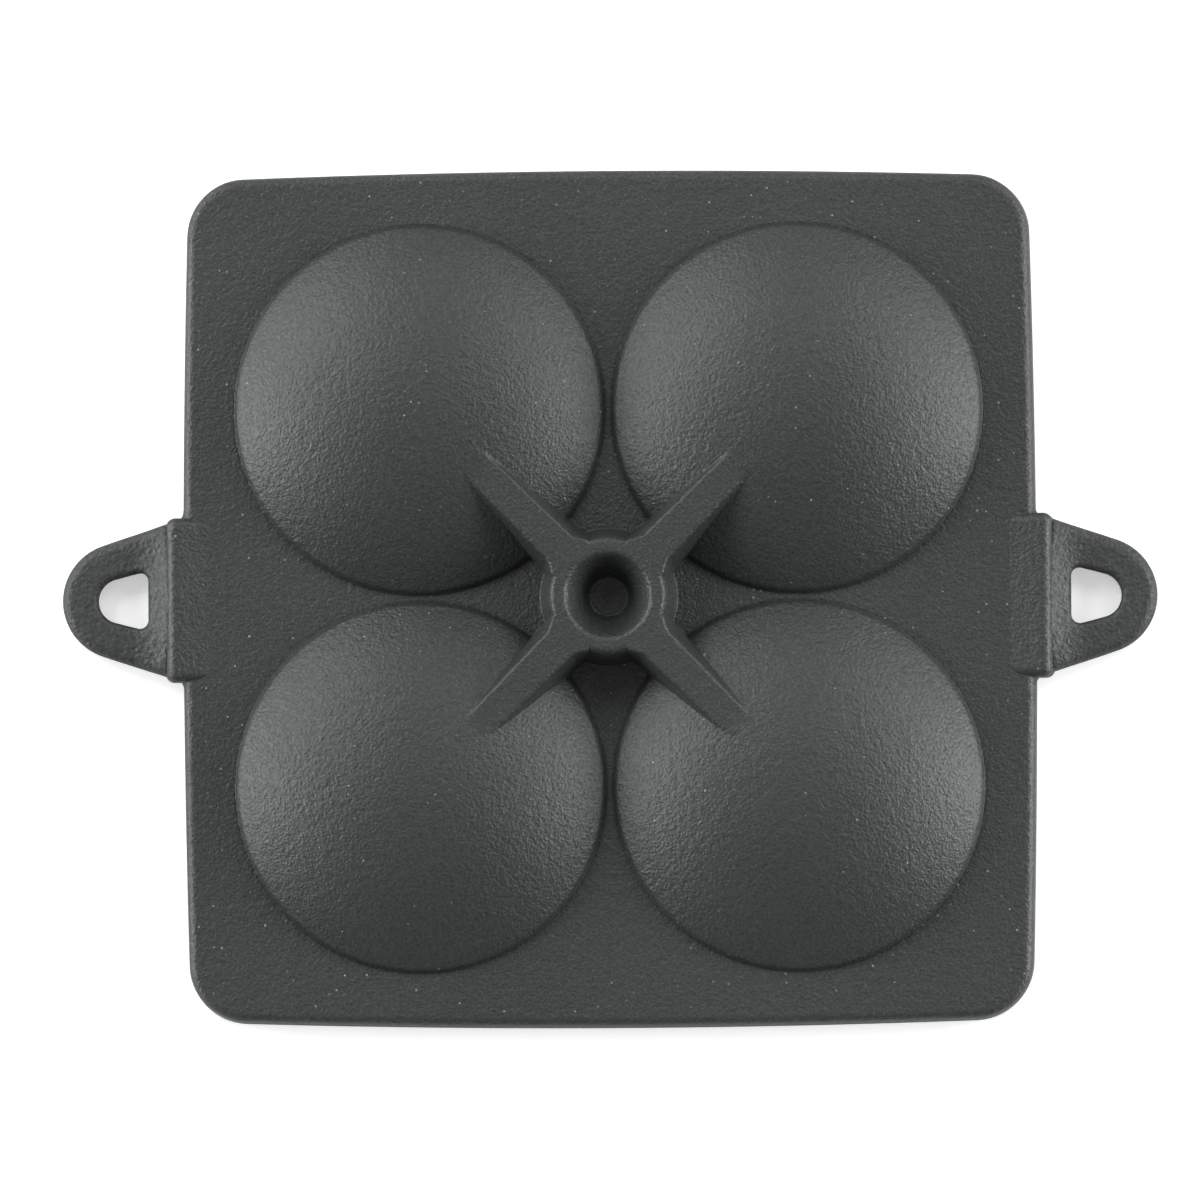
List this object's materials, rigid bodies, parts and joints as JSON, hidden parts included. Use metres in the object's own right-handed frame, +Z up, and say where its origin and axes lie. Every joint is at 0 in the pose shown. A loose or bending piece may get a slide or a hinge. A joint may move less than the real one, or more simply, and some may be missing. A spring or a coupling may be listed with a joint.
{
  "type": "rice ball grill",
  "caption": "Square cast iron grill plate with domed bowls for grilling rice balls, a ribbed centre hub with a tapered socket, and a loop ear on each side.",
  "frame": {"origin": "centre of the square plate, on the plane that the raised rim rests on", "axes": "+X across the two ears, +Y towards the back wells, +Z up out of the plate's back, which carries the domes, the ribs and the hub"},
  "size_m": [0.245, 0.1924, 0.0225],
  "materials": {
    "iron": "matte dark grey, fine sand-cast grain",
    "rough_iron": "matte dark grey, coarser sand-cast grain with small pits"
  },
  "bodies": {
    "root": {"plate": "iron", "rim": "iron", "well_back_left": "iron", "well_back_right": "iron", "well_front_left": "iron", "well_front_right": "iron", "hub": "iron", "rib_back_left": "iron", "rib_back_right": "iron", "rib_front_left": "iron", "rib_front_right": "iron", "lug_left": "iron", "lug_right": "iron", "ear_left": "rough_iron", "ear_right": "rough_iron"}
  },
  "joints": []
}
